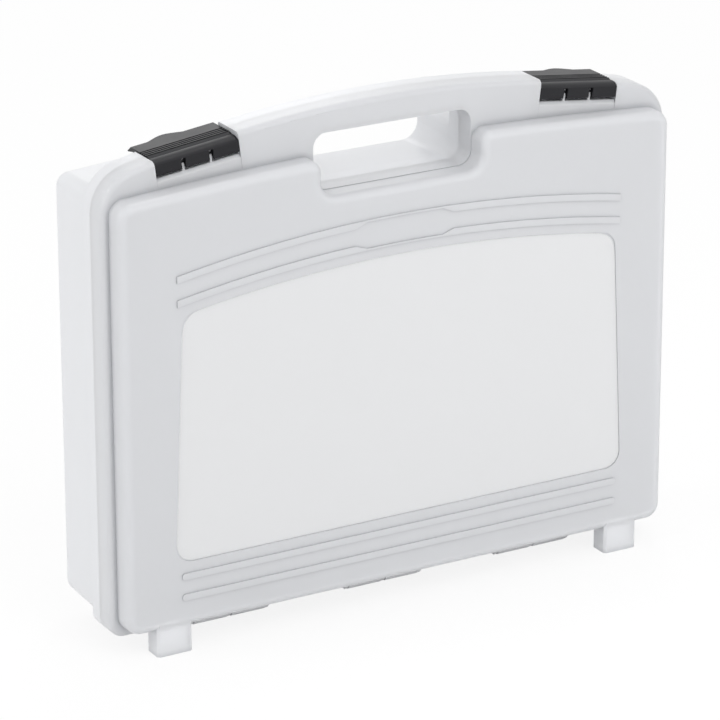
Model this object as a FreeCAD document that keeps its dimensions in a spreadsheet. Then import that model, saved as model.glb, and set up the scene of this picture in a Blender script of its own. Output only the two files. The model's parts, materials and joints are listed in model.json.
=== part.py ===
import FreeCAD, Part
import math
import os
import re
import Sketcher

# Storage case for saw blades: two moulded half shells, snap hinges along the
# bottom edge and two latches on the top edge. The case stands on its feet.
# X runs along the case, Y from the lid to the back and Z up. The origin is
# the middle of the footprint, on the surface that the feet stand on.

Vector = FreeCAD.Vector

# Driving sizes in millimetres, angles in degrees. An inset is measured in from
# the ends of the case and a drop down from its highest point.

SIZES = {
    # whole case
    "case_width": 355.0,
    "case_depth": 78.0,
    "case_height": 294.0,
    "wall": 2.2,
    "draft": 2.0,
    # rim, where the two shells meet
    "lid_depth": 26.0,
    "lid_rim_depth": 13.0,
    "base_rim_depth": 10.0,
    "rim_bottom": 10.4,
    "arch_rise": 23.2,
    "rim_top_radius": 25.0,
    "rim_foot_radius": 9.0,
    "lid_rim_edge_radius": 3.0,
    "base_rim_bevel": 1.2,
    # raised panel of the lid and of the base
    "panel_bottom": 14.6,
    "lid_panel_inset": 4.5,
    "base_panel_inset": 2.3,
    "panel_side_drop": 33.0,
    "panel_crown": 7.2,
    "panel_corner_radius": 9.0,
    "panel_edge_radius": 5.0,
    # hand opening and the notch in both panels below it
    "handle_thickness": 15.2,
    "opening_width": 99.0,
    "opening_height": 31.8,
    "opening_radius": 8.0,
    "notch_step": 0.4,
    "notch_shoulder_radius": 6.6,
    # clear window and the ribs above and below it
    "window_foot_inset": 34.0,
    "window_top_inset": 40.5,
    "window_bottom": 53.0,
    "window_side_drop": 98.6,
    "window_crown": 12.0,
    "window_radius": 10.0,
    "window_step": 0.5,
    "rib_inset": 37.5,
    "rib_width": 3.8,
    "rib_height": 0.7,
    "rib_arch_radius": 790.0,
    "rib_bridge": 1.1,
    "rib_gap_top": 24.0,
    "rib_gap_foot": 31.0,
    "upper_rib_drop": 63.7,
    "middle_rib_drop": 77.2,
    "lower_rib_top": 46.6,
    "bottom_rib_top": 34.4,
    # feet
    "foot_width": 21.4,
    "foot_inset": 32.7,
    "foot_depth": 13.0,
    "foot_root": 9.0,
    "foot_bevel": 1.4,
    # snap hinges
    "hinge_height": 6.4,
    "hinge_spacing": 98.8,
    "hinge_tab_width": 21.4,
    "hinge_web": 1.8,
    "hinge_gap": 0.3,
    "hinge_radius": 3.4,
    "hinge_web_radius": 3.2,
    "hinge_bevel": 2.0,
    "hinge_pin_radius": 1.7,
    "hinge_mouth": 2.8,
    "running_gap": 0.06,
    # latches and their recesses
    "latch_length": 50.0,
    "latch_inset": 58.0,
    "latch_drop": 17.0,
    "latch_tilt": 7.0,
    "latch_gap": 0.4,
    "latch_depth": 33.0,
    "latch_plate": 2.4,
    "latch_top": 5.5,
    "latch_nose": 2.6,
    "latch_nose_depth": 6.8,
    "latch_nose_height": 4.6,
    "latch_nose_radius": 8.0,
    "latch_slope_depth": 9.0,
    "axle_setback": 3.4,
    "axle_radius": 1.0,
    "lip_drop": 3.4,
    "lip_thickness": 1.8,
    "rear_lip_depth": 5.0,
    "rear_lip_drop": 3.5,
    "rear_lip_thickness": 1.6,
    "cheek_thickness": 1.6,
    "cheek_back": 2.2,
    "slit_width": 2.6,
    "slit_height": 5.6,
    "web_thickness": 1.5,
    "web_radius": 1.8,
    "web_mouth": 1.7,
    "web_drop": 13.3,
    "web_gusset": 7.0,
    "seat_rise": 1.6,
    "recess_depth": 10.0,
    "recess_step": 0.6,
    "recess_reach": 12.0,
    "groove_width": 1.4,
    "groove_pitch": 2.3,
    "groove_depth": 0.7,
    # overrun of a cut past the solid that it cuts
    "overrun": 6.0,
}

GROOVE_COUNT = 4

doc = FreeCAD.newDocument("blade_case")
sizes = doc.addObject("Spreadsheet::Sheet", "sizes")
for row, (name, size) in enumerate(SIZES.items(), 1):
    sizes.set(f"A{row}", name)
    sizes.set(f"B{row}", str(size))
    sizes.setAlias(f"B{row}", name)
doc.recompute()


def sheet_text(text):
    """Point every size named in the text at its cell."""
    def cell(match):
        word = match[0]
        return f"sizes.{word}" if word in SIZES else word
    return re.sub(r"[a-z_]+", cell, text)


def value(text):
    """Work a text of named sizes out."""
    return float(sizes.evalExpression(sheet_text(text)))


# Levels along Y and lengths that follow from the driving sizes

LID_FRONT = "(rib_height - case_depth / 2)"
PARTING = f"({LID_FRONT} + lid_depth)"
BASE_BACK = "(case_depth / 2)"
LID_RIM_FACE = f"({PARTING} - lid_rim_depth)"
BASE_RIM_FACE = f"({PARTING} + base_rim_depth)"
BASE_DEPTH = f"({BASE_BACK} - {PARTING})"
HALF_RIM = "(case_width / 2)"
LID_PANEL_WIDTH = "(case_width - 2 * lid_panel_inset)"
BASE_PANEL_WIDTH = "(case_width - 2 * base_panel_inset)"
PANEL_SIDE_HEIGHT = "(case_height - panel_side_drop)"
OPENING_TOP = "(case_height - handle_thickness)"
OPENING_FLOOR = f"({OPENING_TOP} - opening_height)"
WINDOW_SIDE_TOP = "(case_height - window_side_drop)"
RIB_END = f"({HALF_RIM} - rib_inset)"
FOOT_MIDDLE = f"({HALF_RIM} - foot_inset)"
LATCH_MIDDLE = f"({HALF_RIM} - latch_inset)"
LATCH_HEIGHT = "(case_height - latch_drop)"
DRAFT_SLOPE = "tan(draft * 1deg)"


def arc_radius(half_chord, rise):
    return f"((({half_chord}) ^ 2 + ({rise}) ^ 2) / (2 * ({rise})))"


def arc_height(radius, top, across):
    """Height of an arc that peaks at the top over the middle of the case."""
    return f"({top} - {radius} + sqrt({radius} ^ 2 - ({across}) ^ 2))"


# Making sketches and features

def new_body(label):
    body = doc.addObject("PartDesign::Body", label)
    body.Label = label
    return body


def new_sketch(body, name, role, place=(None, None, None), turn=None):
    """Attach a sketch to a plane of its body, shifted and turned about its own X."""
    sketch = body.newObject("Sketcher::SketchObject", name)
    plane = next(part for part in body.Origin.OriginFeatures if part.Role == role)
    sketch.AttachmentSupport = [(plane, "")]
    sketch.MapMode = "FlatFace"
    if turn is not None:
        sketch.AttachmentOffset = FreeCAD.Placement(Vector(), FreeCAD.Rotation(Vector(1, 0, 0), 1))
        sketch.setExpression("AttachmentOffset.Rotation.Angle", sheet_text(turn))
    for letter, text in zip("xyz", place):
        if text is not None:
            sketch.setExpression(f"AttachmentOffset.Base.{letter}", sheet_text(text))
    return sketch


def level_sketch(body, name, level):
    """Sketch that faces the front of the case, at a level along Y."""
    return new_sketch(body, name, "XZ_Plane", (None, None, f"0 - {level}"))


def bind(sketch, constraint, text):
    index = sketch.addConstraint(constraint)
    sketch.setExpression(f"Constraints[{index}]", sheet_text(text))


def arc_between(start, end, radius):
    """Arc of less than half a turn, anticlockwise from start to end."""
    chord = end - start
    inward = Vector(-chord.y, chord.x, 0).normalize()
    rise = math.sqrt(max(radius ** 2 - chord.Length ** 2 / 4, 0))
    centre = (start + end) / 2 + inward * rise
    first, last = [math.atan2(point.y - centre.y, point.x - centre.x) for point in (start, end)]
    if last < first:
        last += 2 * math.pi
    return Part.ArcOfCircle(Part.Circle(centre, Vector(0, 0, 1), radius), first, last)


def draw_outline(sketch, corners):
    """Draw a closed outline. A corner is (across, up) or (across, up, side, radius).
    The side, right or left of the way round, is where the next edge bulges."""
    count = len(corners)
    points = [Vector(value(corner[0]), value(corner[1]), 0) for corner in corners]
    first = sketch.GeometryCount
    marks = []
    for index, corner in enumerate(corners):
        start = points[index]
        end = points[(index + 1) % count]
        marks.append((1, 2))
        if len(corner) == 2:
            sketch.addGeometry(Part.LineSegment(start, end))
            continue
        if corner[2] == "left":
            start, end = end, start
            marks[-1] = (2, 1)
        sketch.addGeometry(arc_between(start, end, value(corner[3])))
    for index, corner in enumerate(corners):
        edge = first + index
        before = first + (index - 1) % count
        mark = marks[index][0]
        end_mark = marks[index - 1][1]
        sketch.addConstraint(Sketcher.Constraint("Coincident", before, end_mark, edge, mark))
        bind(sketch, Sketcher.Constraint("DistanceX", -1, 1, edge, mark, points[index].x), corner[0])
        bind(sketch, Sketcher.Constraint("DistanceY", -1, 1, edge, mark, points[index].y), corner[1])
        if len(corner) == 4:
            bind(sketch, Sketcher.Constraint("Radius", edge, value(corner[3])), corner[3])


def draw_circle(sketch, radius):
    """Draw a circle round the origin of the sketch."""
    edge = sketch.addGeometry(Part.Circle(Vector(), Vector(0, 0, 1), value(radius)))
    sketch.addConstraint(Sketcher.Constraint("Coincident", edge, 3, -1, 1))
    bind(sketch, Sketcher.Constraint("Radius", edge, value(radius)), radius)


def extrude(body, kind, name, sketch, length, backward=False, both=False):
    """Pad or pocket a sketch, away from its front or backward."""
    sketch.recompute()
    feature = body.newObject(f"PartDesign::{kind}", name)
    feature.Profile = sketch
    feature.Reversed = backward
    if both:
        feature.SideType = "Symmetric"
    feature.setExpression("Length", sheet_text(length))
    doc.recompute()


def dress_edges(body, kind, name, size, test):
    """Fillet or chamfer every edge of the body so far that passes the test."""
    tip = body.Tip
    names = [f"Edge{number}" for number, edge in enumerate(tip.Shape.Edges, 1) if test(edge)]
    if not names:
        raise RuntimeError(f"{name}: no edge to dress")
    feature = body.newObject(f"PartDesign::{kind}", name)
    feature.Base = (tip, names)
    feature.setExpression("Radius" if kind == "Fillet" else "Size", sheet_text(size))
    doc.recompute()


def round_edges(body, name, radius, test):
    dress_edges(body, "Fillet", name, radius, test)


def corner_edges(places, front, back):
    """Test for edges along Y near any of the places, between two levels."""
    spots = [(value(across), value(up)) for across, up in places]
    low, high, near = value(front), value(back), value("wall")

    def test(edge):
        if len(edge.Vertexes) != 2:
            return False
        ends = sorted((vertex.Point for vertex in edge.Vertexes), key=lambda point: point.y)
        if ends[1].y - ends[0].y < (high - low) / 10:
            return False
        if ends[0].y < low - near or ends[1].y > high + near:
            return False
        return any(
            all(math.hypot(end.x - spot[0], end.z - spot[1]) < near for end in ends)
            for spot in spots
        )

    return test


def level_edges(level):
    """Test for edges that lie in the plane at a level along Y."""
    depth = value(level)

    def test(edge):
        points = [edge.valueAt(share) for share in edge.ParameterRange]
        points.append(edge.CenterOfMass)
        return all(abs(point.y - depth) < 1e-4 for point in points)

    return test


def both_sides(across, up):
    return [(across, up), (f"0 - {across}", up)]


# Outlines that face the front: rim, panel and hand opening

ARCH_RADIUS = arc_radius(HALF_RIM, "arch_rise")


def arch_height(across, inset="0"):
    return arc_height(f"({ARCH_RADIUS} - {inset})", f"(case_height - {inset})", across)


def rim_corners():
    return [
        (f"0 - {HALF_RIM}", "rim_bottom"),
        (HALF_RIM, "rim_bottom"),
        (HALF_RIM, arch_height(HALF_RIM), "right", ARCH_RADIUS),
        (f"0 - {HALF_RIM}", arch_height(HALF_RIM)),
    ]


def mirrored(corners):
    """The other half of a symmetric outline, from its last corner to its first."""
    bends = [()] + [corner[2:] for corner in corners[:-1]]
    half = [(f"0 - {corner[0]}", corner[1], *bend) for corner, bend in zip(corners, bends)]
    return half[::-1]


def crown_radius(width, inset):
    return f"({arc_radius(f'{width} / 2', 'panel_crown')} - {inset})"


def panel_height(width, across, inset="0"):
    top = f"({PANEL_SIDE_HEIGHT} + panel_crown - {inset})"
    return arc_height(crown_radius(width, inset), top, across)


def crown_bend(width, inset, middle, radius):
    """Ends of the corner between the crown and an upright side: its level on the
    side and its place on the crown. The corner bends round a middle."""
    crown = crown_radius(width, inset)
    top = f"({PANEL_SIDE_HEIGHT} + panel_crown - {inset} - {radius})"
    level = arc_height(f"({crown} - {radius})", top, middle)
    across = f"({middle} * {crown} / ({crown} - {radius}))"
    return level, (across, panel_height(width, across, inset))


def panel_corners(width, inset="0"):
    """Panel with rounded corners, a crowned top and a notch for the hand."""
    half = f"({width} / 2 - {inset})"
    low = f"(panel_bottom + {inset})"
    notch = f"(opening_width / 2 + notch_step + {inset})"
    floor = f"({OPENING_FLOOR} - notch_step - {inset})"
    corner = f"(panel_corner_radius - {inset})"
    shoulder = f"(notch_shoulder_radius - {inset})"
    bend = f"(opening_radius + notch_step + {inset})"
    side_top, crown_end = crown_bend(width, inset, f"({half} - {corner})", corner)
    notch_top, crown_start = crown_bend(width, inset, f"({notch} + {shoulder})", shoulder)
    right_side = [
        (f"({half} - {corner})", low, "right", corner),
        (half, f"{low} + {corner}"),
        (half, side_top, "right", corner),
        (*crown_end, "right", crown_radius(width, inset)),
        (*crown_start, "right", shoulder),
        (notch, notch_top),
        (notch, f"{floor} + {bend}", "left", bend),
        (f"({notch} - {bend})", floor),
    ]
    return right_side + mirrored(right_side)


def cut_corners(left, right, low, high, cut, bend=()):
    """Box with its four corners cut off, or rounded if there is a bend."""
    return [
        (f"{left} + {cut}", low),
        (f"{right} - {cut}", low, *bend),
        (right, f"{low} + {cut}"),
        (right, f"{high} - {cut}", *bend),
        (f"{right} - {cut}", high),
        (f"{left} + {cut}", high, *bend),
        (left, f"{high} - {cut}"),
        (left, f"{low} + {cut}", *bend),
    ]


def rounded_corners(left, right, low, high, radius):
    return cut_corners(left, right, low, high, radius, ("right", radius))


def opening_corners(outset="0"):
    half = f"(opening_width / 2 + {outset})"
    low = f"({OPENING_FLOOR} - {outset})"
    high = f"({OPENING_TOP} + {outset})"
    return rounded_corners(f"(0 - {half})", half, low, high, f"(opening_radius + {outset})")


# Latch places: the latches lean with the arch, down toward the sides

AXLE_LEVEL = f"({LID_RIM_FACE} + axle_setback)"
LEAN_COS = "cos(latch_tilt * 1deg)"
LEAN_SIN = "sin(latch_tilt * 1deg)"
RECESS_HALF = "(latch_length / 2 + latch_gap)"
RECESS_HALF_IN = f"(0 - {RECESS_HALF})"


def latch_across(along, above):
    """Distance from the middle of the case of a point given along the latch,
    outward, and above its axle."""
    return f"({LATCH_MIDDLE} + ({along}) * {LEAN_COS} + ({above}) * {LEAN_SIN})"


def latch_up(along, above):
    return f"({LATCH_HEIGHT} - ({along}) * {LEAN_SIN} + ({above}) * {LEAN_COS})"


RECESS_INNER = latch_across(RECESS_HALF_IN, "0 - recess_reach")
RECESS_OUTER = latch_across(RECESS_HALF, "overrun")


def latch_cut_corners(side, low_inner, low_outer):
    """Cut above a line across the recess, given by heights above the axle."""
    reach = "(overrun + recess_reach)"
    ends = (
        (RECESS_HALF_IN, low_inner),
        (RECESS_HALF, low_outer),
        (RECESS_HALF, reach),
        (RECESS_HALF_IN, reach),
    )
    corners = [(f"{side} * {latch_across(*end)}", latch_up(*end)) for end in ends]
    return corners[::side]


def recess_floor(along):
    """Height of the recess floor above the axle. It follows the top of the panel."""
    across = latch_across(along, "0 - recess_reach")
    height = f"({panel_height(LID_PANEL_WIDTH, across)} + recess_step)"
    return f"(({height} - {latch_up(along, '0')}) / {LEAN_COS})"


def hollow_corners(low_inner, low_outer):
    """Inside of the rim, with a step down below each latch."""
    half = f"({HALF_RIM} - wall)"
    low = "(rim_bottom + wall)"
    bend = ("right", f"({ARCH_RADIUS} - wall)")
    inner = f"({RECESS_INNER} - wall)"
    outer = f"({RECESS_OUTER} + wall)"
    inner_top = arch_height(inner, "wall")
    outer_top = arch_height(outer, "wall")
    side_top = arch_height(half, "wall")
    inner_step = f"({latch_up(RECESS_HALF_IN, low_inner)} - wall)"
    outer_step = f"({latch_up(RECESS_HALF, low_outer)} - wall)"
    right_side = [
        (half, low),
        (half, side_top, *bend),
        (outer, outer_top),
        (outer, outer_step),
        (inner, inner_step),
        (inner, inner_top, *bend),
    ]
    return right_side + mirrored(right_side)


# Features of a half shell

def add_rim(body, outline, inset, depth, backward):
    sketch = level_sketch(body, f"{body.Label}_rim_sketch", PARTING)
    draw_outline(sketch, outline)
    extrude(body, "Pad", f"{body.Label}_rim", sketch, depth, backward)
    half = f"({HALF_RIM} - {inset})"
    top = both_sides(half, arch_height(half, inset))
    foot = both_sides(half, f"(rim_bottom + {inset})")
    round_edges(body, f"{body.Label}_rim_shoulders", f"rim_top_radius - {inset}",
                corner_edges(top, LID_RIM_FACE, BASE_RIM_FACE))
    round_edges(body, f"{body.Label}_rim_heels", f"rim_foot_radius - {inset}",
                corner_edges(foot, LID_RIM_FACE, BASE_RIM_FACE))


def add_panel(body, width, inset, start, end, edge_kind):
    """Loft between the foot of the panel and its face, which is smaller by the draft."""
    drafted = f"({inset} + abs({end} - {start}) * {DRAFT_SLOPE})"
    sketches = []
    for level, step in sorted(((start, inset), (end, drafted)), key=lambda pair: value(pair[0])):
        sketch = level_sketch(body, f"{body.Label}_panel_sketch", level)
        draw_outline(sketch, panel_corners(width, step))
        sketch.recompute()
        sketches.append(sketch)
    panel = body.newObject("PartDesign::AdditiveLoft", f"{body.Label}_panel")
    panel.Profile = sketches[1]
    panel.Sections = [sketches[0]]
    panel.Ruled = True
    doc.recompute()
    dress_edges(body, edge_kind, f"{body.Label}_panel_edge", f"panel_edge_radius - {inset}",
                level_edges(end))


def add_feet(body, front, back):
    """Two feet, flush with the panel, between two levels along Y."""
    for side in (-1, 1):
        left = f"({side} * {FOOT_MIDDLE} - foot_width / 2)"
        right = f"({side} * {FOOT_MIDDLE} + foot_width / 2)"
        sketch = new_sketch(body, f"{body.Label}_foot_sketch", "XY_Plane")
        draw_outline(sketch, cut_corners(left, right, front, back, "foot_bevel"))
        extrude(body, "Pad", f"{body.Label}_foot", sketch, "panel_bottom + foot_root")


def add_opening(body, outset, depth, backward):
    sketch = level_sketch(body, f"{body.Label}_opening_sketch", PARTING)
    draw_outline(sketch, opening_corners(outset))
    extrude(body, "Pocket", f"{body.Label}_opening", sketch, depth, not backward)


def add_seats(core, depth, backward):
    """Space over both seats, where the rim is lower for a latch to close over."""
    for side in (-1, 1):
        sketch = level_sketch(core, f"{core.Label}_seat_sketch", PARTING)
        draw_outline(sketch, latch_cut_corners(side, "seat_rise", "seat_rise"))
        extrude(core, "Pad", f"{core.Label}_seat", sketch, depth, backward)


def add_recesses(body):
    """Space in front of both seats, for the nose of a latch."""
    lows = (recess_floor(RECESS_HALF_IN), recess_floor(RECESS_HALF))
    for side in (-1, 1):
        sketch = level_sketch(body, "recess_sketch", LID_RIM_FACE)
        draw_outline(sketch, latch_cut_corners(side, *lows))
        extrude(body, "Pocket", "recess", sketch, "recess_depth")


def make_core(label, width, rim_face, outer_face, steps, seat_depth, backward):
    """Everything that is cut out of a shell: its inside, with the wall kept
    everywhere, and the spaces for the latches."""
    core = new_body(label)
    inward = "-" if backward else "+"
    start = f"({rim_face} {inward} wall)"
    rim_depth = f"abs({start} - {PARTING})"
    add_rim(core, hollow_corners(*steps), "wall", rim_depth, backward)
    add_panel(core, width, "wall", start, f"({outer_face} {inward} wall)", "Chamfer")
    add_opening(core, "wall", rim_depth, backward)
    add_seats(core, seat_depth, backward)
    return core


def combine(body, tool, kind):
    joined = body.newObject("PartDesign::Boolean", f"{body.Label}_{kind.lower()}")
    joined.Type = kind
    joined.setObjects([tool])
    doc.recompute()


# Hinge and latch profiles, seen along the case, round their axis

RIM_FOOT = "(rim_bottom + wall - hinge_height)"
BORE_RADIUS = "(hinge_pin_radius + running_gap)"
WEB_BORE_RADIUS = "(axle_radius + running_gap)"


def circle_half(radius, offset):
    return f"sqrt({radius} ^ 2 - ({offset}) ^ 2)"


def hook_corners():
    """Hook of the lid, with cut corners: it snaps onto the hinge pin from the front."""
    half_mouth = "(hinge_mouth / 2)"
    edge = circle_half(BORE_RADIUS, half_mouth)
    cut = "(hinge_radius - hinge_bevel)"
    return [
        ("0 - hinge_radius", f"0 - {cut}"),
        ("0 - hinge_radius", RIM_FOOT),
        ("0 - hinge_gap", RIM_FOOT),
        ("0 - hinge_gap", "hinge_radius"),
        (cut, "hinge_radius"),
        ("hinge_radius", half_mouth),
        (edge, half_mouth, "right", BORE_RADIUS),
        (f"0 - {BORE_RADIUS}", "0", "right", BORE_RADIUS),
        (edge, f"0 - {half_mouth}"),
        ("hinge_radius", f"0 - {half_mouth}"),
        (cut, "0 - hinge_radius"),
        (f"0 - {cut}", "0 - hinge_radius"),
    ]


def hinge_web_corners():
    """Web of the base that holds the hinge pin, with cut corners."""
    cut = "(hinge_web_radius - hinge_bevel)"
    return [
        ("hinge_web_radius", f"0 - {cut}"),
        ("hinge_web_radius", RIM_FOOT),
        ("hinge_gap", RIM_FOOT),
        ("hinge_gap", "hinge_web_radius"),
        (f"0 - {cut}", "hinge_web_radius"),
        ("0 - hinge_web_radius", cut),
        ("0 - hinge_web_radius", f"0 - {cut}"),
        (f"0 - {cut}", "0 - hinge_web_radius"),
        (cut, "0 - hinge_web_radius"),
    ]


def latch_web_corners():
    """Web of the lid that holds the axle of a latch, open to the front."""
    half_mouth = "(web_mouth / 2)"
    tip = circle_half("web_radius", half_mouth)
    edge = circle_half(WEB_BORE_RADIUS, half_mouth)
    back = "(recess_depth - axle_setback + recess_step)"
    return [
        ("0 - web_radius", "0 - web_drop"),
        (back, "0 - web_drop"),
        (back, "0 - web_gusset"),
        ("web_radius", "0", "right", "web_radius"),
        (f"0 - {tip}", half_mouth),
        (f"0 - {edge}", half_mouth, "left", WEB_BORE_RADIUS),
        (WEB_BORE_RADIUS, "0", "left", WEB_BORE_RADIUS),
        (f"0 - {edge}", f"0 - {half_mouth}"),
        ("0 - web_radius", f"0 - {half_mouth}"),
    ]


def add_hinge_part(body, name, start, length, corners=None):
    """Pad a hinge profile along the case from its start, or the pin if it has none."""
    sketch = new_sketch(body, f"{name}_sketch", "YZ_Plane", (PARTING, "hinge_height", start))
    if corners is None:
        draw_circle(sketch, "hinge_pin_radius")
    else:
        draw_outline(sketch, corners)
    extrude(body, "Pad", name, sketch, length)


def add_hooks(body):
    for group in (-1, 0, 1):
        middle = f"({group} * hinge_spacing)"
        near = "(hinge_web / 2 + hinge_gap)"
        for start in (f"({middle} + {near})", f"({middle} - {near} - hinge_tab_width)"):
            add_hinge_part(body, "hinge_hook", start, "hinge_tab_width", hook_corners())


def add_hinge_webs(body):
    step = "(hinge_tab_width + hinge_web + 2 * hinge_gap)"
    for group in (-1, 0, 1):
        middle = f"({group} * hinge_spacing - hinge_web / 2)"
        for place in (-1, 0, 1):
            start = f"({middle} + {place} * {step})"
            add_hinge_part(body, "hinge_web", start, "hinge_web", hinge_web_corners())
        add_hinge_part(body, "hinge_pin", f"({middle} - {step})", f"2 * {step} + hinge_web")


def add_latch_webs(body):
    """Two webs per latch, in its recess, at a third and two thirds of its length."""
    for side in (-1, 1):
        for share in (-1, 1):
            along = f"({share} * latch_length / 6)"
            place = (AXLE_LEVEL, latch_up(along, "0"), f"{side} * {latch_across(along, '0')}")
            sketch = new_sketch(body, "latch_web_sketch", "YZ_Plane", place, f"{side} * latch_tilt")
            draw_outline(sketch, latch_web_corners())
            extrude(body, "Pad", "latch_web", sketch, "web_thickness", both=True)


# Front of the lid

def rib_band(top, plain, stepped, bridge):
    """Arched rib. One line is plain, the other steps to a bridge past the oval."""
    def at(across, level):
        return (across, arc_height("rib_arch_radius", f"({level})", across))

    plain_line = f"{top} {plain}"
    step_line = f"{top} {stepped}"
    bridge_line = f"{top} {bridge}"
    return [
        at(f"0 - {RIB_END}", plain_line) + ("left", "rib_arch_radius"),
        at(RIB_END, plain_line),
        at(RIB_END, step_line) + ("right", "rib_arch_radius"),
        at("rib_gap_foot", step_line),
        at("rib_gap_top", bridge_line) + ("right", "rib_arch_radius"),
        at("0 - rib_gap_top", bridge_line),
        at("0 - rib_gap_foot", step_line) + ("right", "rib_arch_radius"),
        at(f"0 - {RIB_END}", step_line),
    ]


def straight_rib(top):
    radius = "(rib_width / 2 - running_gap)"
    return rounded_corners(f"(0 - {RIB_END})", RIB_END, f"({top} - rib_width)", top, radius)


def add_window(body):
    foot = f"({HALF_RIM} - window_foot_inset)"
    top = f"({HALF_RIM} - window_top_inset)"
    sketch = level_sketch(body, "window_sketch", LID_FRONT)
    draw_outline(sketch, [
        (f"0 - {foot}", "window_bottom"),
        (foot, "window_bottom"),
        (top, WINDOW_SIDE_TOP, "right", arc_radius(top, "window_crown")),
        (f"0 - {top}", WINDOW_SIDE_TOP),
    ])
    extrude(body, "Pocket", "window", sketch, "window_step")
    corners = both_sides(foot, "window_bottom") + both_sides(top, WINDOW_SIDE_TOP)
    round_edges(body, "window_corners", "window_radius",
                corner_edges(corners, LID_FRONT, f"{LID_FRONT} + window_step"))


def add_ribs(body):
    sketch = level_sketch(body, "ribs_sketch", LID_FRONT)
    bands = (
        rib_band("(case_height - upper_rib_drop)", "", "- rib_width", "- rib_bridge"),
        rib_band("(case_height - middle_rib_drop)", "- rib_width", "", "- rib_width + rib_bridge"),
    )
    draw_outline(sketch, bands[0])
    draw_outline(sketch, bands[1])
    draw_outline(sketch, straight_rib("lower_rib_top"))
    draw_outline(sketch, straight_rib("bottom_rib_top"))
    extrude(body, "Pad", "ribs", sketch, "rib_height")


# Latches, in their own frame: origin on the axle, X along it

def from_front(depth):
    return f"({depth} - axle_setback)"


def latch_corners():
    under = "(latch_top - latch_plate)"
    lip_low = "(latch_top - rear_lip_drop)"
    inside = from_front("lip_thickness")
    fall = from_front("latch_depth - rear_lip_depth")
    return [
        (from_front("0"), "0 - lip_drop"),
        (from_front("0"), "latch_nose", "left", "latch_nose_radius"),
        (from_front("latch_nose_depth"), "latch_nose_height"),
        (from_front("latch_slope_depth"), "latch_top"),
        (fall, "latch_top"),
        (from_front("latch_depth"), lip_low),
        (from_front("latch_depth - rear_lip_thickness"), lip_low),
        (f"({fall} - rear_lip_thickness)", under),
        (from_front("latch_nose_depth"), under),
        (inside, "(latch_nose - lip_thickness)"),
        (inside, "0 - lip_drop"),
    ]


def add_along_latch(body, kind, name, corners, length, along="0"):
    """Pad or pocket a profile to both sides of a place along the latch."""
    sketch = new_sketch(body, f"{name}_sketch", "YZ_Plane", (None, None, along))
    if corners is None:
        draw_circle(sketch, "axle_radius")
    else:
        draw_outline(sketch, corners)
    extrude(body, kind, name, sketch, length, both=True)


def box_corners(front, back, low, high):
    return [(front, low), (back, low), (back, high), (front, high)]


def make_latch(label, side):
    body = new_body(label)
    add_along_latch(body, "Pad", "plate", latch_corners(), "latch_length")
    cheek = box_corners(from_front("lip_thickness / 2"), "cheek_back",
                        "0 - cheek_back", "latch_top - latch_plate + running_gap")
    slit = box_corners(from_front("0 - overrun"), "cheek_back",
                       "0 - lip_drop - overrun", "slit_height - lip_drop")
    end = "(latch_length / 2 - cheek_thickness / 2)"
    beside = "(latch_length / 6 + slit_width / 2 + cheek_thickness / 2)"
    between = "(latch_length / 6 - slit_width / 2 - cheek_thickness / 2)"
    for place in (end, beside, between):
        for share in (-1, 1):
            add_along_latch(body, "Pad", "cheek", cheek, "cheek_thickness", f"{share} * {place}")
    for share in (-1, 1):
        add_along_latch(body, "Pocket", "slit", slit, "slit_width", f"{share} * latch_length / 6")
    for index in range(GROOVE_COUNT):
        start = f"({from_front('latch_slope_depth')} + {index} * groove_pitch)"
        groove = box_corners(start, f"({start} + groove_width)",
                             "latch_top - groove_depth", "latch_top + overrun")
        add_along_latch(body, "Pocket", "groove", groove, "latch_length + overrun")
    for share in (-1, 1):
        add_along_latch(body, "Pad", "axle", None, "slit_width + cheek_thickness",
                        f"{share} * latch_length / 6")
    body.Placement = FreeCAD.Placement(Vector(), FreeCAD.Rotation(Vector(0, 1, 0), 1))
    body.setExpression("Placement.Rotation.Angle", sheet_text(f"{side} * latch_tilt"))
    body.setExpression("Placement.Base.x", sheet_text(f"{side} * {LATCH_MIDDLE}"))
    body.setExpression("Placement.Base.y", sheet_text(AXLE_LEVEL))
    body.setExpression("Placement.Base.z", sheet_text(LATCH_HEIGHT))
    doc.recompute()
    return body


# The four pieces

lid = new_body("lid_shell")
add_rim(lid, rim_corners(), "0", "lid_rim_depth", False)
round_edges(lid, "lid_rim_edge", "lid_rim_edge_radius", level_edges(LID_RIM_FACE))
add_panel(lid, LID_PANEL_WIDTH, "0", LID_RIM_FACE, LID_FRONT, "Fillet")
add_feet(lid, LID_FRONT, f"({LID_FRONT} + foot_depth)")
add_opening(lid, "0", "lid_rim_depth", False)
floor_steps = (recess_floor(RECESS_HALF_IN), recess_floor(RECESS_HALF))
lid_core = make_core("lid_core", LID_PANEL_WIDTH, LID_RIM_FACE, LID_FRONT, floor_steps,
                     "lid_rim_depth - recess_depth", False)
combine(lid, lid_core, "Cut")
add_recesses(lid)
lid_fittings = new_body("lid_fittings")
add_latch_webs(lid_fittings)
add_hooks(lid_fittings)
combine(lid, lid_fittings, "Fuse")
add_window(lid)
add_ribs(lid)

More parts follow.
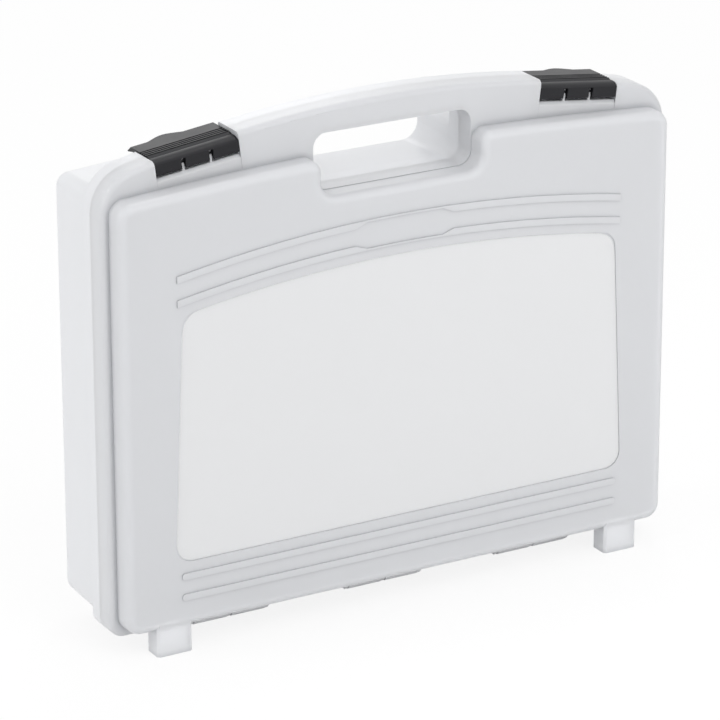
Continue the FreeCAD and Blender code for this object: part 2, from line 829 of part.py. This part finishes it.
base = new_body("base_shell")
add_rim(base, rim_corners(), "0", "base_rim_depth", True)
dress_edges(base, "Chamfer", "base_rim_edge", "base_rim_bevel", level_edges(BASE_RIM_FACE))
add_panel(base, BASE_PANEL_WIDTH, "0", BASE_RIM_FACE, BASE_BACK, "Fillet")
add_feet(base, f"({BASE_BACK} - foot_depth)", BASE_BACK)
add_opening(base, "0", "base_rim_depth", True)
seat_steps = ("seat_rise", "seat_rise")
base_core = make_core("base_core", BASE_PANEL_WIDTH, BASE_RIM_FACE, BASE_BACK, seat_steps,
                      "base_rim_depth", True)
combine(base, base_core, "Cut")
base_fittings = new_body("base_fittings")
add_hinge_webs(base_fittings)
combine(base, base_fittings, "Fuse")

pieces = [lid, base, make_latch("latch_left", -1), make_latch("latch_right", 1)]

# Checks and files

for item in doc.Objects:
    if "Invalid" in item.State or "Error" in item.State:
        raise RuntimeError(f"{item.Name} did not build: {item.State}")
os.makedirs("parts", exist_ok=True)
for piece in pieces:
    shape = piece.Shape
    if shape.isNull() or not shape.isValid() or len(shape.Solids) != 1:
        raise RuntimeError(f"{piece.Label} is not one valid solid")
    shape.exportStep(f"parts/{piece.Label}.step")
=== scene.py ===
import json
import math

import bmesh
import bpy
from mathutils import Euler, Matrix, Vector


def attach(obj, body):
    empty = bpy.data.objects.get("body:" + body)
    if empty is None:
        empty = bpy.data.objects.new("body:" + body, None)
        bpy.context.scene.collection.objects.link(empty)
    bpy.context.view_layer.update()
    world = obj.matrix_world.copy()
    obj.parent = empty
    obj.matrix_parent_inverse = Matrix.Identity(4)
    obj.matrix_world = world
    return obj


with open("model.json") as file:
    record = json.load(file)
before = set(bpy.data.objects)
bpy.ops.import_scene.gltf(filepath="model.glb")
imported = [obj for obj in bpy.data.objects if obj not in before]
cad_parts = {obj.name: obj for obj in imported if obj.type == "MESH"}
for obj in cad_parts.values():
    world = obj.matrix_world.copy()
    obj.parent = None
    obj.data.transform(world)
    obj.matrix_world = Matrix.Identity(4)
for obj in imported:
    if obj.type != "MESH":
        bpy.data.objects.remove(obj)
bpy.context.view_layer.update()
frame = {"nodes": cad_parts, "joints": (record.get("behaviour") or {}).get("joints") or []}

# Camera, fitted to the photograph

CAMERA_PLACE = (-1.096895, -1.908892, 0.953584)
CAMERA_TURN = (69.54238, 0.12707, -29.78569)
CAMERA_LENS = 210.0
CAMERA_SENSOR = 36.0

# Polished window in the front of the lid, in metres

WINDOW_FOOT_HALF = 0.1435
WINDOW_TOP_HALF = 0.1370
WINDOW_LOW = 0.0530
WINDOW_SIDE_TOP = 0.1954
WINDOW_CROWN = 0.0120
WINDOW_CORNER = 0.010
WINDOW_BACK = -0.0340

# Shelves below the lips of the latches and finger tabs, in metres and degrees

SHELF_HALF = 0.0255
SHELF_FRONT = -0.0033
SHELF_LEAN = 0.0016
SHELF_BACK = 0.0064
SHELF_TOP = -0.0051
SHELF_EDGE = -0.0072
SHELF_FOOT_INNER = -0.0142
SHELF_FOOT_OUTER = -0.0112
TAB_HALF = 0.0150
TAB_SHIFT = 0.0040
TAB_START = 0.0228
TAB_ROOT = 0.0246
TAB_REACH = 0.0048
TAB_TOP = 0.0053
TAB_THICKNESS = 0.0017
TAB_STEPS = 24
EDGE_ROUNDING = 0.0004
EDGE_SEGMENTS = 3
EDGE_ANGLE = 30.0

# Colours as linear reflectances

SHELL_COLOUR = (0.952, 0.962, 0.985)
WINDOW_COLOUR = (0.985, 0.99, 1.0)
# Painted shade for creases and ribs, not a colour of the plastic
PAINTED_CREASE_SHADE_COLOUR = (0.42, 0.43, 0.46)
LATCH_COLOUR = (0.012, 0.012, 0.014)
FLOOR_COLOUR = (0.92, 0.92, 0.92)
WHITE = (1.0, 1.0, 1.0, 1.0)

# Shares of the light that pass through the plastic

LID_CLEAR = 0.42
BASE_CLEAR = 0.30
WINDOW_CLEAR = 0.34

# Surface of the plastic: noise as repeats per metre and detail, lowest and highest
# roughness, and the strength and depth in metres of the mould texture

SHELL_CLOUDS = (14.0, 3.0)
SHELL_GRAIN = (1600.0, 2.0)
SHELL_ROUGHNESS = (0.28, 0.36)
SHELL_BUMP = 0.06
SHELL_DARKER = 0.97
SHELL_IOR = 1.49
WINDOW_ROUGHNESS_SHARE = 0.08
LATCH_MARKS = (90.0, 4.0)
LATCH_GRAIN = (2400.0, 2.0)
LATCH_ROUGHNESS = (0.32, 0.42)
LATCH_BUMP = 0.1
LATCH_PALER = 1.6
LATCH_IOR = 1.5
LATCH_SPECULAR = 0.22
BUMP_DEPTH = 0.0002

# Soft boxes: name, place, target, width in metres and power in watts, beside the
# even light of the world

MIDDLE = (0.0, 0.0, 0.15)
FLOOR_SPOT = (0.3, -0.9, 0.0)
LAMPS = (
    ("lamp_key", (0.0, -1.3, 1.9), MIDDLE, 0.9, 5.0),
    ("lamp_left", (-2.2, 0.2, 1.3), MIDDLE, 1.6, 15.0),
    ("lamp_floor", (0.3, -1.0, 0.7), FLOOR_SPOT, 1.0, 3.6),
    ("lamp_back", (0.8, 1.9, 1.3), MIDDLE, 0.6, 2.2),
    ("lamp_sheen", (0.5, 0.55, 2.3), MIDDLE, 0.4, 3.4),
)
WORLD_STRENGTH = 0.80
FLOOR_WHITE_SHARE = 0.85
FLOOR_HALF = 6.0

# Reach of the painted shade along creases and ribs, in metres

PAINTED_SHADE_REACH = 0.0035
PAINTED_SHADE_STRENGTH = 0.9
PAINTED_SHADE_SAMPLES = 8


# Helpers for nodes and materials

class Nodes:
    """Short calls for making nodes in one tree."""

    def __init__(self, tree):
        self.tree = tree
        tree.nodes.clear()

    def add(self, kind, inputs=(), **settings):
        node = self.tree.nodes.new(kind)
        for name, setting in settings.items():
            setattr(node, name, setting)
        for name, source in dict(inputs).items():
            self.feed(node, name, source)
        return node

    def feed(self, node, name, source):
        """Link an output to an input, or set the input's own value."""
        if isinstance(source, bpy.types.NodeSocket):
            self.tree.links.new(source, node.inputs[name])
        else:
            node.inputs[name].default_value = source

    def math(self, operation, first, second=0.0, third=0.0):
        inputs = {0: first, 1: second, 2: third}
        return self.add("ShaderNodeMath", inputs, operation=operation).outputs[0]

    def between(self, share, low, high):
        """Value that goes from low to high as the share goes from zero to one."""
        inputs = {0: share, 1: 0.0, 2: 1.0, 3: low, 4: high}
        return self.add("ShaderNodeMapRange", inputs).outputs[0]


def new_material(name):
    material = bpy.data.materials.new(name)
    material.use_nodes = True
    return material, Nodes(material.node_tree)


def noise(nodes, place, scale, detail):
    """Noise from zero to one, fixed to the object."""
    inputs = {"Vector": place, "Scale": scale, "Detail": detail}
    return nodes.add("ShaderNodeTexNoise", inputs).outputs[0]


def bumped(nodes, height, strength):
    """Surface direction with a fine mould texture."""
    inputs = {"Strength": strength, "Distance": BUMP_DEPTH, "Height": height}
    return nodes.add("ShaderNodeBump", inputs).outputs[0]


def mixed_colour(nodes, share, one, other):
    """Mix of two colours, each a triple or the output of a node."""
    node = nodes.add("ShaderNodeMix", {"Factor": share}, data_type="RGBA")
    for slot, colour in ((6, one), (7, other)):
        nodes.feed(node, slot, (*colour, 1.0) if isinstance(colour, tuple) else colour)
    return node.outputs[2]


# Materials

def window_share(nodes, place):
    """One inside the polished window of the lid and zero outside it."""
    axes = nodes.add("ShaderNodeSeparateXYZ", {0: place}).outputs
    across = nodes.math("ABSOLUTE", axes[0])
    rise = nodes.math("SUBTRACT", axes[2], WINDOW_LOW)
    lean = (WINDOW_FOOT_HALF - WINDOW_TOP_HALF) / (WINDOW_SIDE_TOP - WINDOW_LOW)
    side = nodes.math("MULTIPLY_ADD", rise, lean, across)
    past_side = nodes.math("SUBTRACT", side, WINDOW_FOOT_HALF)
    curve = WINDOW_CROWN / WINDOW_TOP_HALF ** 2
    square = nodes.math("MULTIPLY", across, across)
    height = nodes.math("MULTIPLY_ADD", square, curve, axes[2])
    past_top = nodes.math("SUBTRACT", height, WINDOW_SIDE_TOP + WINDOW_CROWN)
    past_foot = nodes.math("MULTIPLY", rise, -1.0)
    past_end = nodes.math("SMOOTH_MAX", past_top, past_foot, WINDOW_CORNER)
    past_edge = nodes.math("SMOOTH_MAX", past_end, past_side, 2 * WINDOW_CORNER)
    inside = nodes.math("LESS_THAN", past_edge, 0.0)
    in_front = nodes.math("LESS_THAN", axes[1], WINDOW_BACK)
    return nodes.math("MULTIPLY", inside, in_front)


def painted_crease_shade(nodes):
    """Share of painted shade, rising in creases and along ribs where ambient occlusion finds
    them.
    """
    inputs = {"Distance": PAINTED_SHADE_REACH}
    occlusion = nodes.add("ShaderNodeAmbientOcclusion", inputs, samples=PAINTED_SHADE_SAMPLES)
    return nodes.between(occlusion.outputs["AO"], PAINTED_SHADE_STRENGTH, 0.0)


def shell_material(name, clear, has_window=False):
    """Frosted polypropylene, with a fine mould texture, cloudy flow marks and painted shade
    in creases.
    """
    material, nodes = new_material(name)
    place = nodes.add("ShaderNodeTexCoord").outputs["Object"]
    cloud = noise(nodes, place, *SHELL_CLOUDS)
    grain = noise(nodes, place, *SHELL_GRAIN)
    darker = tuple(SHELL_DARKER * channel for channel in SHELL_COLOUR)
    colour = mixed_colour(nodes, cloud, darker, SHELL_COLOUR)
    rough = nodes.between(cloud, *SHELL_ROUGHNESS)
    bump_strength = SHELL_BUMP
    if has_window:
        share = window_share(nodes, place)
        colour = mixed_colour(nodes, share, colour, WINDOW_COLOUR)
        smooth = nodes.between(share, 1.0, WINDOW_ROUGHNESS_SHARE)
        rough = nodes.math("MULTIPLY", rough, smooth)
        clear = nodes.between(share, clear, WINDOW_CLEAR)
        bump_strength = nodes.between(share, bump_strength, 0.0)
    # Painted shade darkens the colour in creases and along ribs, the window included
    colour = mixed_colour(nodes, painted_crease_shade(nodes), colour, PAINTED_CREASE_SHADE_COLOUR)
    shader = nodes.add("ShaderNodeBsdfPrincipled", {
        "Base Color": colour,
        "Roughness": rough,
        "Transmission Weight": clear,
        "IOR": SHELL_IOR,
        "Normal": bumped(nodes, grain, bump_strength),
    })
    nodes.add("ShaderNodeOutputMaterial", {"Surface": shader.outputs[0]})
    return material


def latch_material():
    """Black moulded plastic, satin, with faint paler and duller marks."""
    material, nodes = new_material("latch_black")
    place = nodes.add("ShaderNodeTexCoord").outputs["Object"]
    marks = noise(nodes, place, *LATCH_MARKS)
    grain = noise(nodes, place, *LATCH_GRAIN)
    paler = tuple(LATCH_PALER * channel for channel in LATCH_COLOUR)
    shader = nodes.add("ShaderNodeBsdfPrincipled", {
        "Base Color": mixed_colour(nodes, marks, LATCH_COLOUR, paler),
        "Roughness": nodes.between(marks, *LATCH_ROUGHNESS),
        "IOR": LATCH_IOR,
        "Specular IOR Level": LATCH_SPECULAR,
        "Normal": bumped(nodes, grain, LATCH_BUMP),
    })
    nodes.add("ShaderNodeOutputMaterial", {"Surface": shader.outputs[0]})
    return material


def white_share(nodes, share):
    """Share for rays that see the white background: from the camera and, on
    gloss and through clear plastic, from reflections and transmission."""
    path = nodes.add("ShaderNodeLightPath").outputs
    seen = nodes.math("MAXIMUM", path["Is Camera Ray"], path["Is Glossy Ray"])
    seen = nodes.math("MAXIMUM", seen, path["Is Transmission Ray"])
    return nodes.math("MULTIPLY", seen, share)


def floor_material():
    """Pale floor that looks white and keeps the shadow of the case."""
    material, nodes = new_material("floor_pale")
    plain = nodes.add("ShaderNodeBsdfDiffuse", {"Color": (*FLOOR_COLOUR, 1.0)})
    white = nodes.add("ShaderNodeEmission", {"Color": WHITE, "Strength": 1.0})
    mix = nodes.add("ShaderNodeMixShader", {
        0: white_share(nodes, FLOOR_WHITE_SHARE), 1: plain.outputs[0], 2: white.outputs[0],
    })
    nodes.add("ShaderNodeOutputMaterial", {"Surface": mix.outputs[0]})
    return material


def set_material(node, material):
    mesh = frame["nodes"][node].data
    mesh.materials.clear()
    mesh.materials.append(material)


set_material("lid_shell", shell_material("shell_lid", LID_CLEAR, True))
set_material("base_shell", shell_material("shell_base", BASE_CLEAR))
latch_black = latch_material()
set_material("latch_left", latch_black)
set_material("latch_right", latch_black)


# Small forms that the shells and latches lack, in the frame of a latch: origin
# on its axle, X along it, Y to the back and Z up

def latch_matrix(joint):
    """Place and lean of a latch, from its joint."""
    lean = Vector((1.0, 0.0, 0.0)).rotation_difference(Vector(joint["axis"]))
    return Matrix.Translation(joint["pos_m"]) @ lean.to_matrix().to_4x4()


def add_prism(name, ends, matrix, body, material):
    """Solid between two outlines with as many points each, rounded on its edges."""
    count = len(ends[0])
    faces = [tuple(range(count))[::-1], tuple(range(count, 2 * count))]
    for index in range(count):
        after = (index + 1) % count
        faces.append((index, after, count + after, count + index))
    mesh = bpy.data.meshes.new(name)
    points = [tuple(matrix @ Vector(point)) for end in ends for point in end]
    mesh.from_pydata(points, [], faces)
    mesh.validate()
    shape = bmesh.new()
    shape.from_mesh(mesh)
    bmesh.ops.recalc_face_normals(shape, faces=shape.faces)
    shape.to_mesh(mesh)
    shape.free()
    mesh.materials.append(material)
    item = bpy.data.objects.new(name, mesh)
    bpy.context.scene.collection.objects.link(item)
    rounding = item.modifiers.new("rounding", "BEVEL")
    rounding.width = EDGE_ROUNDING
    rounding.segments = EDGE_SEGMENTS
    rounding.limit_method = "ANGLE"
    rounding.angle_limit = math.radians(EDGE_ANGLE)
    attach(item, body)


def add_shelf(side_name, side, joint, material):
    """Sloping shelf of the lid below the front lip of a latch."""
    ends = []
    for share, foot in ((-1, SHELF_FOOT_INNER), (1, SHELF_FOOT_OUTER)):
        across = side * share * SHELF_HALF
        outline = ((SHELF_FRONT, foot), (SHELF_FRONT, SHELF_EDGE),
                   (SHELF_FRONT + SHELF_LEAN, SHELF_TOP), (SHELF_BACK, SHELF_TOP),
                   (SHELF_BACK, foot))
        ends.append([(across, depth, height) for depth, height in outline])
    add_prism(f"latch_shelf_{side_name}", ends, latch_matrix(joint), "lid", material)


def add_tab(side_name, side, joint, material):
    """Wavy finger tab at the rear edge of a latch."""
    middle = side * TAB_SHIFT
    outline = [(middle + TAB_HALF, TAB_START), (middle - TAB_HALF, TAB_START)]
    for step in range(TAB_STEPS + 1):
        share = 2.0 * step / TAB_STEPS - 1.0
        reach = TAB_REACH * (1.0 + math.cos(math.pi * share)) / 2.0
        outline.append((middle + share * TAB_HALF, TAB_ROOT + reach))
    heights = (TAB_TOP - TAB_THICKNESS, TAB_TOP)
    ends = [[(*point, height) for point in outline] for height in heights]
    body = f"latch_{side_name}"
    add_prism(f"finger_tab_{side_name}", ends, latch_matrix(joint), body, material)


shell_plain = shell_material("shell_shelf", LID_CLEAR)
joints = {joint["name"]: joint for joint in frame["joints"]}
for side_name, side in (("left", -1), ("right", 1)):
    joint = joints[f"latch_{side_name}_hinge"]
    add_shelf(side_name, side, joint, shell_plain)
    add_tab(side_name, side, joint, latch_black)


# Floor, world, lamps and camera

def make_floor():
    half = FLOOR_HALF
    corners = [(-half, -half, 0.0), (half, -half, 0.0), (half, half, 0.0), (-half, half, 0.0)]
    mesh = bpy.data.meshes.new("floor")
    mesh.from_pydata(corners, [], [(0, 1, 2, 3)])
    floor = bpy.data.objects.new("floor", mesh)
    bpy.context.scene.collection.objects.link(floor)
    mesh.materials.append(floor_material())


def make_world():
    world = bpy.data.worlds.new("studio")
    bpy.context.scene.world = world
    world.use_nodes = True
    nodes = Nodes(world.node_tree)
    plain = nodes.add("ShaderNodeBackground", {"Color": WHITE, "Strength": WORLD_STRENGTH})
    white = nodes.add("ShaderNodeBackground", {"Color": WHITE, "Strength": 1.0})
    mix = nodes.add("ShaderNodeMixShader", {
        0: white_share(nodes, 1.0), 1: plain.outputs[0], 2: white.outputs[0],
    })
    nodes.add("ShaderNodeOutputWorld", {"Surface": mix.outputs[0]})


def add_lamp(name, place, target, width, watts):
    """Square soft box that faces a target."""
    lamp = bpy.data.lights.new(name, "AREA")
    lamp.shape = "SQUARE"
    lamp.size = width
    lamp.energy = watts
    item = bpy.data.objects.new(name, lamp)
    item.location = place
    item.rotation_euler = (Vector(target) - Vector(place)).to_track_quat("-Z", "Y").to_euler()
    bpy.context.scene.collection.objects.link(item)


def make_camera():
    camera = bpy.data.cameras.new("camera")
    camera.lens = CAMERA_LENS
    camera.sensor_width = CAMERA_SENSOR
    item = bpy.data.objects.new("camera", camera)
    item.location = CAMERA_PLACE
    item.rotation_euler = Euler([math.radians(angle) for angle in CAMERA_TURN])
    bpy.context.scene.collection.objects.link(item)
    bpy.context.scene.camera = item


make_floor()
make_world()
for name, place, target, width, watts in LAMPS:
    add_lamp(name, place, target, width, watts)
make_camera()
bpy.context.scene.view_settings.view_transform = "Standard"
